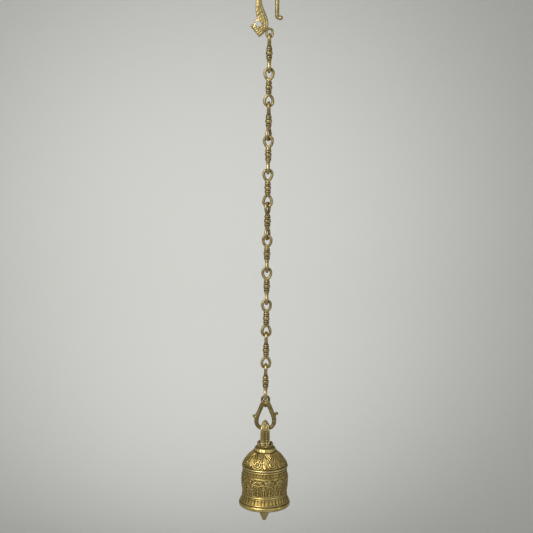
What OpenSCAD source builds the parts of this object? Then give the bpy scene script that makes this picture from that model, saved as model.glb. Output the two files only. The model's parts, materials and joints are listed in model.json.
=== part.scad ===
// Temple bell on a cast brass chain.
// Hook, eleven chain links, a lyre-shaped stirrup, the bell with its crown
// loop, and the clapper inside. The origin is the seat under the hook's arch,
// where the whole bell hangs. +Z is up and +X runs along the hook's face.

/* [Hook] */
// Diameter of the hook's round arch and rod
hook_rod_d = 8; // [7:0.5:9]
// Distance from the hang line to the decorated arm of the hook
arm_offset = 20; // [19:0.5:21]
// Distance from the hang line to the free rod of the hook
rod_offset = 13.5; // [12.5:0.5:14.5]
// Thickness of the decorated arm
arm_thickness = 10; // [9:0.5:11]
// Wire diameter of the ring at the foot of the hook
hook_ring_wire_d = 4.6; // [4.2:0.2:4.8]
// Clear width of the ring at the foot of the hook
hook_ring_hole_w = 6.8; // [6.8:0.2:7.4]

/* [Chain] */
// Length of chain that each link adds
link_pitch = 62.5; // [58:0.5:70]
// Diameter of the round bar that the eyes are made of
eye_wire_d = 5.6; // [5:0.1:5.8]
// Clear width of an eye
eye_hole_w = 10; // [9.8:0.1:11]
// Lean of the eye's legs, which close its hole to a point
eye_taper = 27; // [25:1:30]
// Diameter of the fat band at the middle of a link
link_belly_d = 12.6; // [11.6:0.2:13]

/* [Stirrup] */
// Diameter of the stirrup's arms and bar
stirrup_d = 7.8; // [7.2:0.2:8]
// Distance between the centres of the two arms at their widest
stirrup_w = 34; // [32:0.5:36]
// Height from the ring's seat to the bar's centre
stirrup_drop = 58.8; // [57:0.2:60]

/* [Bell] */
// Diameter of the mouth
mouth_d = 100.8; // [98:0.2:104]
// Height of the casting from crown to mouth
bell_h = 118; // [117:0.5:120]
// Wall thickness of the body
wall = 3.4; // [3:0.2:4]
// Diameter of the crown's stud
stud_d = 10; // [9:0.5:11]

/* [Clapper] */
// Diameter of the clapper's bulb
bulb_d = 26.6; // [24:0.2:27]
// Diameter of the clapper's stem
stem_d = 5.2; // [4.6:0.2:6]
// How far the tip hangs below the mouth
tip_drop = 32.6; // [31:0.2:34]

/* [Hidden] */
$fn = 48;

brass = [0.62, 0.52, 0.27];
dark_brass = [0.45, 0.37, 0.18];

// Running gap between two pieces that hang in each other
gap = 0.3;

// Hook: the arch is two quarter rings that meet above the seat
hook_rod_r = hook_rod_d / 2;
arch_top = hook_rod_r;
curl_r = 5;
curl_z = -43.3;
curl_sweep = 110;
curl_tip_r = hook_rod_r + 0.4;
arm_rod_end = -24;
curl_hole = [-20.8, -59.3];
curl_hole_r = 5.2;
hook_ring_r = hook_ring_wire_d / 2;
hook_ring_mean = hook_ring_hole_w / 2 + hook_ring_r;
hook_ring_straight = 4;
hook_ring_seat = -83.4;

// Chain: every eye is an arc with two legs that lean together
wire_r = eye_wire_d / 2;
eye_mean = eye_hole_w / 2 + wire_r;
link_span = link_pitch + 2 * wire_r + gap;
belly_r = link_belly_d / 2;
belly_half = 2.6;
belly_round = 1.1;
groove_r = 4.7;
collar_r = 4.9;
// Height of a collar's middle, half its width, and how far it stands out
inner_collar = [5, 1.4, 0.8];
outer_collar = [7.8, 1.2, 0.6];
shank_top = 9.6;
shank_r = 3;
baluster_half = link_span / 2 - eye_mean - 11;
// Heading of each link's upper and lower eye, measured from the hook's face
upper_eyes = [90, 0, 90, -13, 0, 63, -13, 0, 0, 90, 90];
lower_eyes = [90, 0, 62, 90, -12, 62, 90, 90, 0, 0, 90];
link_count = len(upper_eyes);
// Height of the first link's upper bar, over the hook's ring
first_link_z = hook_ring_seat + hook_ring_r + wire_r + gap;
// Height of the lowest link's lower bar, where the stirrup hangs
chain_end = first_link_z - link_count * link_span
    + (link_count - 1) * (2 * wire_r + gap);

// Stirrup
stirrup_r = stirrup_d / 2;
stirrup_ring_r = 2.5;
stirrup_ring_mean = 6.9;
stirrup_ring_z = chain_end + wire_r + stirrup_ring_r + gap - stirrup_ring_mean;
bar_z = chain_end - stirrup_drop;
arm_lean = 68;
arm_root_x = 4.4;
elbow_r = 30;
elbow_rise = 2.2;
corner_r = 13;
neck_h = 9;
neck_top_r = 6.2;
// Sideways reach of a bud, its height over the bar, and its radius
right_bud = [21.8, 29.4, 2.2];
left_bud = [-22.6, 25.2, 1.7];
bud_root = 0.55;
bud_tip = 0.6;

// Crown loop, measured from the bar
loop_apex = 18.4;
loop_foot = -28.4;
loop_deep = 24;
hole_mouth = 12;
hole_flare = 2.6;
slot_w = 11;
slot_h = 16;
collar_base_r = 14.5;
collar_top_r = 10.5;
collar_step = 4;
collar_slope = 4.2;
lobes = 8;
lobe_r = 4.2;
lobe_mean = 12.2;
lobe_z = 4.4;

// Crown and bell, from the crown's top face down
crown_z = bar_z - 36.3;
mouth_z = crown_z - bell_h;
mouth_r = mouth_d / 2;
crown_floor = crown_z - 6;
stud_r = stud_d / 2;
crown_bead = [4.5, 3, 2.4];
plain_bead = [38, 2, 1.7];
roped_bead = [43, 1.8, 1.3];
lip_bead = [bell_h - 4.6, 4.2, 1.8];
washer_t = 2;
nut_t = 8;
nut_af = 17;
tongue_t = 4;
tongue_w = 9;
tongue_hole_r = 2.3;
tongue_top = crown_floor - washer_t - nut_t;
tongue_hole_z = tongue_top - 8;
tongue_end = tongue_hole_z - 5.4;

// Clapper, hung from the tongue on a plain ring
ring_wire_r = 1.3;
ring_mean = 6.5;
ring_top = tongue_hole_z - 0.4;
ring_z = ring_top - ring_mean;
clapper_eye_r = 1.6;
clapper_eye_mean = 4.8;
clapper_eye_z = ring_z - ring_mean + ring_wire_r + clapper_eye_r + 0.25
    - clapper_eye_mean;
bulb_r = bulb_d / 2;
stem_r = stem_d / 2;
tip_z = mouth_z - tip_drop;

// ---- shared shapes ----

function bezier(p, t) =
    pow(1 - t, 3) * p[0] + 3 * t * pow(1 - t, 2) * p[1]
    + 3 * t * t * (1 - t) * p[2] + pow(t, 3) * p[3];
function curve(p, n = 10) = [for (i = [0:n]) bezier(p, i / n)];

// Half-round bead on a turned profile, with radius r at its foot. The shape
// gives the height of its middle, half its width, and how far it stands out.
function bead(r, shape) =
    [for (a = [-80:20:80])
        [r + shape[2] * cos(a), shape[0] + shape[1] * sin(a)]];
function both_sides(p) =
    concat(p, [for (i = [len(p) - 1:-1:0]) [-p[i][0], p[i][1]]]);
function mirrored(p) = [for (i = [len(p) - 1:-1:0]) [p[i][0], -p[i][1]]];

// Round bar bent to an arc in the hook's plane, from an angle through a sweep
module bent_bar(mean, r, from, sweep) {
    rotate([90, 0, 0])
        rotate([0, 0, from])
            rotate_extrude(angle = sweep)
                translate([mean, 0])
                    circle(r = r);
}

// Straight round bar between two points of the hook's plane
module bar(p, q, r) {
    d = q - p;
    translate([p[0], 0, p[1]])
        rotate([0, atan2(d[0], d[1]), 0])
            cylinder(h = norm(d), r = r);
}

// Plate cut to an outline in the hook's plane and centred on it
module plate(outline, t) {
    translate([0, t / 2, 0])
        rotate([90, 0, 0])
            linear_extrude(t)
                polygon(outline);
}

// ---- hook ----

module hook_arch() {
    bent_bar_at([0, arch_top - arm_offset], arm_offset, hook_rod_r, 90, 90);
    bent_bar_at([0, arch_top - rod_offset], rod_offset, hook_rod_r, 0, 90);
    bar([-arm_offset, arch_top - arm_offset], [-arm_offset, arm_rod_end], hook_rod_r);
}

module bent_bar_at(centre, mean, r, from, sweep) {
    translate([centre[0], 0, centre[1]])
        bent_bar(mean, r, from, sweep);
}

module hook_free_rod() {
    tip = [rod_offset + curl_r - curl_r * cos(curl_sweep),
           curl_z - curl_r * sin(curl_sweep)];
    bar([rod_offset, arch_top - rod_offset], [rod_offset, curl_z], hook_rod_r);
    bent_bar_at([rod_offset + curl_r, curl_z], curl_r, hook_rod_r, 180, curl_sweep);
    translate([tip[0], 0, tip[1]])
        sphere(r = curl_tip_r);
}

// The decorated arm widens downwards, curls round a hole and ends in a fan
module hook_arm() {
    right_edge = curve([[-15.4, -13], [-15, -32], [3, -50], [-3.3, -67.3]]);
    left_edge = curve([[-23.5, -50], [-27, -38], [-27, -26], [-24.6, -13]]);
    fan = [[-10.1, -77], [-18.8, -84.2], [-37.7, -62.4]];
    spur = [[-29.5, -59.5], [-28.2, -57.5], [-29, -54.5]];
    difference() {
        plate(concat(right_edge, fan, spur, left_edge), arm_thickness);
        translate([curl_hole[0], arm_thickness, curl_hole[1]])
            rotate([90, 0, 0])
                cylinder(h = 2 * arm_thickness, r = curl_hole_r);
    }
}

module hook_ring() {
    low = hook_ring_seat + hook_ring_mean;
    high = low + hook_ring_straight;
    bent_bar_at([0, low], hook_ring_mean, hook_ring_r, 180, 180);
    bent_bar_at([0, high], hook_ring_mean, hook_ring_r, 0, 180);
    for (s = [-1, 1])
        bar([s * hook_ring_mean, low], [s * hook_ring_mean, high], hook_ring_r);
}

module hook() {
    color(brass)
        union() {
            hook_arch();
            hook_free_rod();
            hook_arm();
            hook_ring();
        }
}

// ---- chain ----

// Eye with its arc on top and its legs meeting below the arc's centre
module eye() {
    start = eye_mean * [cos(eye_taper), -sin(eye_taper)];
    foot = [0, -eye_mean / sin(eye_taper)];
    bent_bar(eye_mean, wire_r, -eye_taper, 180 + 2 * eye_taper);
    bar(start, foot, wire_r);
    bar([-start[0], start[1]], foot, wire_r);
}

// Turned middle of a link: a fat band, then two collars and a taper each way
module baluster() {
    belly = [for (a = [0:15:75])
        [belly_r - belly_round * (1 - cos(a)), belly_half * sin(a)]];
    upper = concat(
        belly,
        [[groove_r, belly_half + 0.6]],
        bead(collar_r, inner_collar),
        bead(collar_r, outer_collar),
        [[groove_r, shank_top], [shank_r, baluster_half]]
    );
    rotate_extrude()
        polygon(concat([[0, -baluster_half]], mirrored(upper), upper,
                       [[0, baluster_half]]));
}

// Link drawn about the centre of its upper bar
module link(upper_heading, lower_heading) {
    color(brass)
        union() {
            translate([0, 0, -eye_mean])
                rotate([0, 0, upper_heading])
                    eye();
            translate([0, 0, -link_span / 2])
                baluster();
            translate([0, 0, eye_mean - link_span])
                rotate([0, 0, lower_heading])
                    mirror([0, 0, 1])
                        eye();
        }
}

module chain_link(i) {
    translate([0, 0, first_link_z - (i - 1) * link_pitch])
        link(upper_eyes[i - 1], lower_eyes[i - 1]);
}

// ---- stirrup ----

// One arm: a straight slope, an elbow, a short drop and a round corner
module stirrup_arm() {
    x = stirrup_w / 2;
    corner = [x - corner_r, bar_z + corner_r];
    elbow = [x - elbow_r, corner[1] + elbow_rise];
    bend = elbow + elbow_r * [sin(arm_lean), cos(arm_lean)];
    rise = (bend[0] - arm_root_x) * tan(arm_lean);
    bar([arm_root_x, bend[1] + rise], bend, stirrup_r);
    bent_bar_at(elbow, elbow_r, stirrup_r, 0, 90 - arm_lean);
    bar([x, elbow[1]], [x, corner[1]], stirrup_r);
    bent_bar_at(corner, corner_r, stirrup_r, -90, 90);
    bar([corner[0], bar_z], [0, bar_z], stirrup_r);
}

// Bud on the outside of an arm
module stirrup_bud(bud) {
    x = bud[0];
    z = bar_z + bud[1];
    bar([x * bud_root, z - 2], [x, z], bud[2]);
    translate([x, 0, z])
        sphere(r = bud[2] + bud_tip);
}

module stirrup() {
    neck_z = stirrup_ring_z - stirrup_ring_mean;
    color(brass)
        union() {
            translate([0, 0, stirrup_ring_z])
                bent_bar(stirrup_ring_mean, stirrup_ring_r, 0, 360);
            translate([0, 0, neck_z - neck_h])
                cylinder(h = neck_h - 0.4, r1 = shank_r, r2 = neck_top_r);
            stirrup_arm();
            mirror([1, 0, 0])
                stirrup_arm();
            stirrup_bud(right_bud);
            stirrup_bud(left_bud);
        }
}

// ---- crown ----

// Loop outline seen from the side, a pointed arch
module loop_side() {
    arch = curve([[0, loop_apex], [4.5, 12], [12.5, 6], [12.5, -6]]);
    rotate([90, 0, 90])
        linear_extrude(loop_deep, center = true)
            polygon(both_sides(concat(arch, [[12, -20], [13.5, loop_foot]])));
}

// Loop outline seen from the front, narrow and pointed
module loop_front() {
    side = curve([[0, loop_apex], [3, 14], [8.2, 9], [8.3, -3]]);
    plate(both_sides(concat(side, [[8.8, -10], [9.6, loop_foot]])), 2 * loop_deep);
}

// Space for the stirrup's bar, flared towards both faces for its round ends
module loop_hole() {
    seat_r = stirrup_r + gap;
    half = [[seat_r, 2.5], [seat_r + 1.1, 8], [seat_r + hole_flare, hole_mouth]];
    rotate([0, 90, 0])
        rotate_extrude()
            polygon(concat([[0, -hole_mouth]], mirrored(half), half,
                           [[0, hole_mouth]]));
    translate([-hole_mouth, -slot_w / 2, -slot_h - 2])
        cube([2 * hole_mouth, slot_w, slot_h]);
}

module crown_loop() {
    color(brass) {
        difference() {
            union() {
                translate([0, 0, bar_z])
                    intersection() {
                        loop_side();
                        loop_front();
                    }
                translate([0, 0, crown_z])
                    cylinder(h = collar_step, r = collar_base_r);
                translate([0, 0, crown_z + collar_step])
                    cylinder(h = collar_slope, r1 = collar_base_r, r2 = collar_top_r);
                for (i = [0:lobes - 1])
                    rotate([0, 0, (i + 0.5) * 360 / lobes])
                        translate([lobe_mean, 0, crown_z + lobe_z])
                            sphere(r = lobe_r);
                translate([0, 0, tongue_top])
                    cylinder(h = crown_z - tongue_top + 1, r = stud_r);
                translate([-tongue_t / 2, -tongue_w / 2, tongue_end])
                    cube([tongue_t, tongue_w, tongue_top - tongue_end + 1]);
            }
            translate([0, 0, bar_z])
                loop_hole();
            translate([-tongue_t, 0, tongue_hole_z])
                rotate([0, 90, 0])
                    cylinder(h = 2 * tongue_t, r = tongue_hole_r);
        }
    }
}

// ---- bell ----

// Heights below are measured down from the crown's top face
module bell_shell() {
    r_bore = stud_r + gap;
    outer = concat(
        [[18.5, 0]],
        bead(19, crown_bead),
        [[21.5, 9.5], [31, 18.2], [37.2, 26], [43.4, 35.2]],
        bead(43.6, plain_bead),
        bead(42.4, roped_bead),
        [[42.8, 46.5], [44.6, 56], [45.2, 67], [44, 79], [42.4, 89],
         [43.6, 92.5], [43.6, 95], [45.4, 101], [48.2, 108]],
        bead(mouth_r - lip_bead[2], lip_bead),
        [[mouth_r - 2, bell_h]]
    );
    inner = [[mouth_r - 4.2, bell_h], [mouth_r - 4.6, bell_h - 7],
             [45.4 - wall, 101], [42.4 - wall, 89], [45.2 - wall, 67],
             [42.8 - wall, 47], [43.4 - wall, 38], [37.2 - wall, 28],
             [31 - wall, 20.5], [14, 6], [r_bore, 6], [r_bore, 0]];
    color(brass)
        translate([0, 0, crown_z])
            rotate_extrude()
                polygon([for (p = concat(outer, inner)) [p[0], -p[1]]]);
}

module crown_washer() {
    color(dark_brass)
        translate([0, 0, crown_floor - washer_t])
            difference() {
                cylinder(h = washer_t, r = 11);
                translate([0, 0, -1])
                    cylinder(h = washer_t + 2, r = stud_r + gap);
            }
}

module crown_nut() {
    color(dark_brass)
        translate([0, 0, crown_floor - washer_t - nut_t])
            difference() {
                cylinder(h = nut_t, d = nut_af / cos(30), $fn = 6);
                translate([0, 0, -1])
                    cylinder(h = nut_t + 2, r = stud_r + 0.05);
            }
}

// ---- clapper ----

module clapper_hanger() {
    color(dark_brass)
        translate([0, 0, ring_z])
            bent_bar(ring_mean, ring_wire_r, 0, 360);
}

module clapper() {
    stem_top = clapper_eye_z - clapper_eye_mean;
    bulb_z = mouth_z - 2;
    shoulder = curve([[bulb_r, bulb_z], [bulb_r, bulb_z + 9],
                      [stem_r + 1, bulb_z + 13], [stem_r, bulb_z + 22]]);
    nose = curve([[3.4, tip_z], [4.6, tip_z + 4],
                  [bulb_r - 2.8, tip_z + 13], [bulb_r, bulb_z]]);
    color(dark_brass)
        union() {
            translate([0, 0, clapper_eye_z])
                rotate([0, 0, 90])
                    bent_bar(clapper_eye_mean, clapper_eye_r, 0, 360);
            rotate_extrude()
                polygon(concat([[0, tip_z]], nose, shoulder,
                               [[stem_r, stem_top - 1], [stem_r - 1, stem_top + 0.4],
                                [0, stem_top + 0.4]]));
        }
}

hook();
chain_link(1);  // chain_link_01
chain_link(2);  // chain_link_02
chain_link(3);  // chain_link_03
chain_link(4);  // chain_link_04
chain_link(5);  // chain_link_05
chain_link(6);  // chain_link_06
chain_link(7);  // chain_link_07
chain_link(8);  // chain_link_08
chain_link(9);  // chain_link_09
chain_link(10);  // chain_link_10
chain_link(11);  // chain_link_11
stirrup();
crown_loop();
bell_shell();
crown_washer();
crown_nut();
clapper_hanger();
clapper();
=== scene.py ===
import json
import math

import bpy
import numpy as np
from mathutils import Matrix, Vector


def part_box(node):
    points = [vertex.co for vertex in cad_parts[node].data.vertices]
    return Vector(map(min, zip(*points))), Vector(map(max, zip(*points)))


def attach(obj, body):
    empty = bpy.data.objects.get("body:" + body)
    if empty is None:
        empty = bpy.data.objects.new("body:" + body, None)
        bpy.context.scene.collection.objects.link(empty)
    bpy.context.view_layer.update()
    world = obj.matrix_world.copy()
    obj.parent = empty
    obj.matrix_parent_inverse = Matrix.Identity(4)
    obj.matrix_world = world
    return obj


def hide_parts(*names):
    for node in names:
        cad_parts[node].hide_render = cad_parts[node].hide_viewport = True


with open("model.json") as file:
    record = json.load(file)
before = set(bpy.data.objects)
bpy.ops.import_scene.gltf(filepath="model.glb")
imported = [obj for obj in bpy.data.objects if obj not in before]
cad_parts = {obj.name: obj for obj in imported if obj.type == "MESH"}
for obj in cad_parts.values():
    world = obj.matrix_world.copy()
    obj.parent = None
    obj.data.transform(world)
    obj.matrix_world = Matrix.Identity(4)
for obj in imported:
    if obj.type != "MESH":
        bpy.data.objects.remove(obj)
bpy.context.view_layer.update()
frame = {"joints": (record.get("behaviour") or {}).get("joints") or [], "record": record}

# The shapes below are worked out in millimetres in the part's frame and turned into metres
# when a mesh is made. All but the bell are distance fields: negative inside the brass.
MM = 0.001


def box_mm(node):
    """Lowest and highest corner of a CAD node, in millimetres."""
    low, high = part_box(node)
    return np.array(low) / MM, np.array(high) / MM


# Height of each body's hinge, and the body that each CAD node belongs to
JOINT_Z = {j["child"]: j["pos_m"][2] / MM for j in frame["joints"]}
BODY_OF = {
    node: body
    for body, nodes in frame["record"]["behaviour"]["bodies"].items()
    for node in nodes
}

# ---- fields ----


def join(a, b, soft):
    """Union of two fields with a fillet of about the size soft."""
    h = np.clip(0.5 + 0.5 * (b - a) / soft, 0, 1)
    return b * (1 - h) + a * h - soft * h * (1 - h)


def keep_both(a, b, soft):
    """What lies inside both fields, with a rounded edge."""
    return -join(-a, -b, soft)


def bar(x, y, z, start, end, r0, r1=None):
    """Round bar with round ends between two points of the XZ plane."""
    r1 = r0 if r1 is None else r1
    du, dw = end[0] - start[0], end[1] - start[1]
    along = ((x - start[0]) * du + (z - start[1]) * dw) / (du * du + dw * dw)
    along = np.clip(along, 0, 1)
    gap = (x - start[0] - along * du) ** 2 + (z - start[1] - along * dw) ** 2 + y * y
    return np.sqrt(gap) - (r0 + (r1 - r0) * along)


def bent(x, y, z, centre, mean, r, low, high):
    """Round bar bent to an arc in the XZ plane, between two angles in degrees."""
    u, w = x - centre[0], z - centre[1]
    middle = (low + high) / 2
    turn = (np.degrees(np.arctan2(w, u)) - middle + 180) % 360 - 180
    turn = np.radians(np.clip(turn, low - middle, high - middle) + middle)
    gap = (u - mean * np.cos(turn)) ** 2 + (w - mean * np.sin(turn)) ** 2 + y * y
    return np.sqrt(gap) - r


def ring(x, y, z, centre_z, mean, r):
    """Closed ring in the XZ plane, centred on the hang line."""
    return np.hypot(np.hypot(x, z - centre_z) - mean, y) - r


def hoop(x, y, z, centre_z, mean, r):
    """Closed ring lying level round the hang line."""
    return np.hypot(np.hypot(x, y) - mean, z - centre_z) - r


def ball(x, y, z, centre, r):
    """Ball round a point."""
    return np.sqrt((x - centre[0]) ** 2 + (y - centre[1]) ** 2 + (z - centre[2]) ** 2) - r


def outline(u, w, points):
    """Signed distance to a closed outline in a plane."""
    far, inside = 1e9, False
    for (u0, w0), (u1, w1) in zip(points, points[1:] + points[:1]):
        du, dw = u1 - u0, w1 - w0
        along = ((u - u0) * du + (w - w0) * dw) / (du * du + dw * dw or 1)
        along = np.clip(along, 0, 1)
        far = np.minimum(far, np.hypot(u - u0 - along * du, w - w0 - along * dw))
        crosses = (w0 > w) != (w1 > w)
        inside = inside ^ (crosses & (u < u0 + du * (w - w0) / (dw or 1e-9)))
    return np.where(inside, -far, far)


def stroke(u, w, points):
    """Distance to an open line in a plane."""
    far = 1e9
    for (u0, w0), (u1, w1) in zip(points, points[1:]):
        du, dw = u1 - u0, w1 - w0
        along = np.clip(((u - u0) * du + (w - w0) * dw) / (du * du + dw * dw), 0, 1)
        far = np.minimum(far, np.hypot(u - u0 - along * du, w - w0 - along * dw))
    return far


def bezier(p0, p1, p2, p3, count=12):
    """Points along a cubic curve in a plane."""
    points = []
    for i in range(count + 1):
        t = i / count
        weights = ((1 - t) ** 3, 3 * t * (1 - t) ** 2, 3 * t * t * (1 - t), t**3)
        points.append(
            tuple(sum(k * p[a] for k, p in zip(weights, (p0, p1, p2, p3))) for a in (0, 1))
        )
    return points


def bump(value, centre, half):
    """Smooth hump of height 1 where value is near centre."""
    return np.clip(1 - ((value - centre) / half) ** 2, 0, None) ** 0.75


def ripple(x, y, z, seed, size, waves=7):
    """Seeded soft waviness of about plus or minus 1, as left by casting in sand."""
    rng = np.random.default_rng(seed)
    total = 0.0
    for _ in range(waves):
        way = rng.normal(size=3)
        way *= 2 * math.pi * rng.uniform(0.6, 1.5) / (size * np.linalg.norm(way))
        phase = rng.uniform(0, 2 * math.pi)
        total = total + np.sin(x * way[0] + y * way[1] + z * way[2] + phase)
    return total / math.sqrt(waves)


def cast_skin(x, y, z, seed):
    """Uneven surface of the castings, in millimetres; only takes metal away on balance."""
    broad = 0.09 * ripple(x, y, z, seed, 11)
    fine = 0.045 * ripple(x, y, z, seed + 1, 3.2, 10)
    return np.maximum(broad + fine + 0.1, -0.02)


# ---- meshes ----


def surface(field, low, high, cell):
    """Vertices and quads where the field is zero, from a grid of cells (surface nets)."""
    low = np.array(low, float) - 2 * cell
    counts = np.ceil((np.array(high, float) - low) / cell).astype(int) + 3
    axes = [low[a] + cell * np.arange(counts[a]) for a in range(3)]
    value = field(axes[0][:, None, None], axes[1][None, :, None], axes[2][None, None, :])
    value = np.ascontiguousarray(np.broadcast_to(value, counts))
    inside = value < 0

    def part(array, offsets):
        return array[tuple(slice(o, array.shape[a] - 1 + o) for a, o in enumerate(offsets))]

    corners = [(i, j, k) for i in (0, 1) for j in (0, 1) for k in (0, 1)]
    filled = sum(part(inside, c).astype(np.int8) for c in corners)
    mixed = (filled > 0) & (filled < 8)
    where = np.argwhere(mixed)
    total, hits = np.zeros(where.shape), np.zeros(len(where))
    for axis in range(3):
        for start in (c for c in corners if c[axis] == 0):
            stop = tuple(o + (a == axis) for a, o in enumerate(start))
            v0, v1 = part(value, start)[mixed], part(value, stop)[mixed]
            cross = (v0 < 0) != (v1 < 0)
            point = np.repeat(np.array([start], float), len(where), axis=0)
            point[:, axis] = np.where(cross, v0 / np.where(cross, v0 - v1, 1), 0)
            total += np.where(cross[:, None], point, 0)
            hits += cross
    number = np.full(mixed.shape, -1)
    number[mixed] = np.arange(len(where))
    quads = []
    for axis in range(3):
        b, c = [a for a in range(3) if a != axis]
        here = [slice(None)] * 3
        here[b], here[c] = slice(1, -1), slice(1, -1)
        first, second = list(here), list(here)
        first[axis], second[axis] = slice(0, -1), slice(1, None)
        a_in, b_in = inside[tuple(first)], inside[tuple(second)]
        at = np.argwhere(a_in != b_in)
        at[:, b] += 1
        at[:, c] += 1
        ring_of_cells = []
        for ob, oc in ((1, 1), (0, 1), (0, 0), (1, 0)):
            cells = at.copy()
            cells[:, b] -= ob
            cells[:, c] -= oc
            ring_of_cells.append(number[tuple(cells.T)])
        quad = np.stack(ring_of_cells, 1)
        outward = a_in[a_in != b_in] == (axis != 1)
        quads.append(np.where(outward[:, None], quad, quad[:, ::-1]))
    return low + cell * (where + total / hits[:, None]), np.concatenate(quads)


def slope(field, points, reach):
    """Gradient of the field at each point."""
    x, y, z = points.T
    steps = ((reach, 0, 0), (0, reach, 0), (0, 0, reach))
    return np.stack(
        [
            (field(x + a, y + b, z + c) - field(x - a, y - b, z - c)) / (2 * reach)
            for a, b, c in steps
        ],
        1,
    )


def settle(field, points, cell):
    """Moves the vertices onto the surface of the field itself."""
    for _ in range(2):
        grade = slope(field, points, 0.1 * cell)
        size = np.maximum((grade**2).sum(1), 0.05)
        step = -(field(*points.T) / size)[:, None] * grade
        length = np.linalg.norm(step, axis=1, keepdims=True)
        points = points + step * np.minimum(1, 0.5 * cell / np.maximum(length, 1e-9))
    return points


def patina(field, points):
    """How deep each vertex sits in a hollow, and how far it stands on a rubbed edge."""
    grade = slope(field, points, 0.1)
    size = np.maximum(np.linalg.norm(grade, axis=1), 0.2)
    normal = grade / size[:, None]
    hollow = np.zeros(len(points))
    for reach, weight in ((0.7, 1.0), (1.8, 0.7), (4.5, 0.3)):
        ahead = field(*(points + normal * reach).T) / size
        hollow += weight * np.clip(1 - ahead / reach, 0, 1)
    edge = np.zeros(len(points))
    for reach in (0.5, 1.3):
        behind = field(*(points - normal * reach).T) / size
        edge += 0.5 * np.clip(1 + behind / reach, 0, 1)
    return np.clip(hollow, 0, 1), np.clip(1.6 * edge, 0, 1)


def make_object(name, points, faces, hollow, edge):
    """Smooth mesh object with its patina stored on the vertices, from millimetres."""
    mesh = bpy.data.meshes.new(name)
    mesh.from_pydata((points * MM).tolist(), [], faces.tolist())
    mesh.polygons.foreach_set("use_smooth", np.ones(len(mesh.polygons), bool))
    for label, values in (("hollow", hollow), ("edge", edge)):
        attribute = mesh.attributes.new(label, "FLOAT", "POINT")
        attribute.data.foreach_set("value", values.astype(np.float32))
    mesh.validate()
    piece = bpy.data.objects.new(name, mesh)
    bpy.context.scene.collection.objects.link(piece)
    return piece


def carve(name, field, low, high, cell):
    """Mesh object of a field inside the given box."""
    points, faces = surface(field, low, high, cell)
    points = settle(field, points, cell)
    return make_object(name, points, faces, *patina(field, points))


def place(piece, node, material):
    """The piece stands for a CAD node and moves with its body."""
    piece.data.materials.append(material)
    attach(piece, BODY_OF[node])
    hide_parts(node)
    return piece


# ---- hook ----

# Rod and arch: where the two arms hang, the rod's radius, and its centre over the seat
ARM_X, ROD_X, ROD_R, ARCH_Z = -20, 13.5, 3.95, 4
# Outward curl of the rod: its radius, the height of its centre, and its sweep in degrees
CURL_R, CURL_Z, CURL_SWEEP = 5, -43.3, 110
CURL_TIP_R = ROD_R + 0.35
# The decorated arm: end of its round stem, half its thickness, and its relief's scale
STEM_END_Z, STEM_END_R, ARM_HALF, LEAF_DEPTH = -26, 4.4, 4.75, 0.62
HOLE, HOLE_R = (-20.8, -59.3), 5.2
FAN_START, FAN_END, RIB_PITCH = (-37.4, -62.5), (-18.8, -83.9), 4.1
# Ring at the foot: mean and wire radius of its half circles, the straight length between
# them, and the radius of the wire in the CAD
FOOT_MEAN, FOOT_R, FOOT_STRAIGHT, FOOT_CAD_R = 5.7, 2.25, 4, 2.3
ARM_RIGHT = bezier((-15.4, -13), (-15, -32), (3, -50), (-3.3, -67.3), 16)
ARM_LEFT = bezier((-23.5, -50), (-27, -38), (-27, -26), (-24.6, -13))
ARM_OUTLINE = (
    ARM_RIGHT
    + [(-10.3, -77), FAN_END, FAN_START]
    + [(-29.5, -59.5), (-28.2, -57.5), (-29, -54.5)]
    + ARM_LEFT
)


def hook_leaf(x, y, z):
    """Relief of the decorated arm: veins along its back, barbs between them, a ribbed fan."""
    back = stroke(x, z, ARM_RIGHT)
    du, dw = FAN_END[0] - FAN_START[0], FAN_END[1] - FAN_START[1]
    length = math.hypot(du, dw)
    along = ((x - FAN_START[0]) * du + (z - FAN_START[1]) * dw) / length
    inward = (-(x - FAN_START[0]) * dw + (z - FAN_START[1]) * du) / length
    rho = np.hypot(x - HOLE[0], z - HOLE[1])
    in_fan = np.clip((11 - inward) / 2, 0, 1) * np.clip((rho - 8.5) / 1.5, 0, 1)
    veins = 1.7 * bump(back, 1.8, 1.9) + 0.8 * bump(back, 6.2, 1.1) + 0.7 * bump(back, 10.4, 1)
    barbs = np.sin(2 * math.pi * (z / 5.6 + back / 8.5)) * np.clip(1 - veins, 0, 1)
    ribs = np.cos(2 * math.pi * along / RIB_PITCH) * bump(inward, 7.2, 5.0)
    border = bump(inward, 1.6, 1.8)
    rim = bump(rho, HOLE_R + 1.5, 1.4)
    arm = (0.55 * veins + 0.12 * barbs) * (1 - in_fan)
    return arm + in_fan * (0.8 * ribs + 1.0 * border) + 0.6 * rim - 0.4


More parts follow.
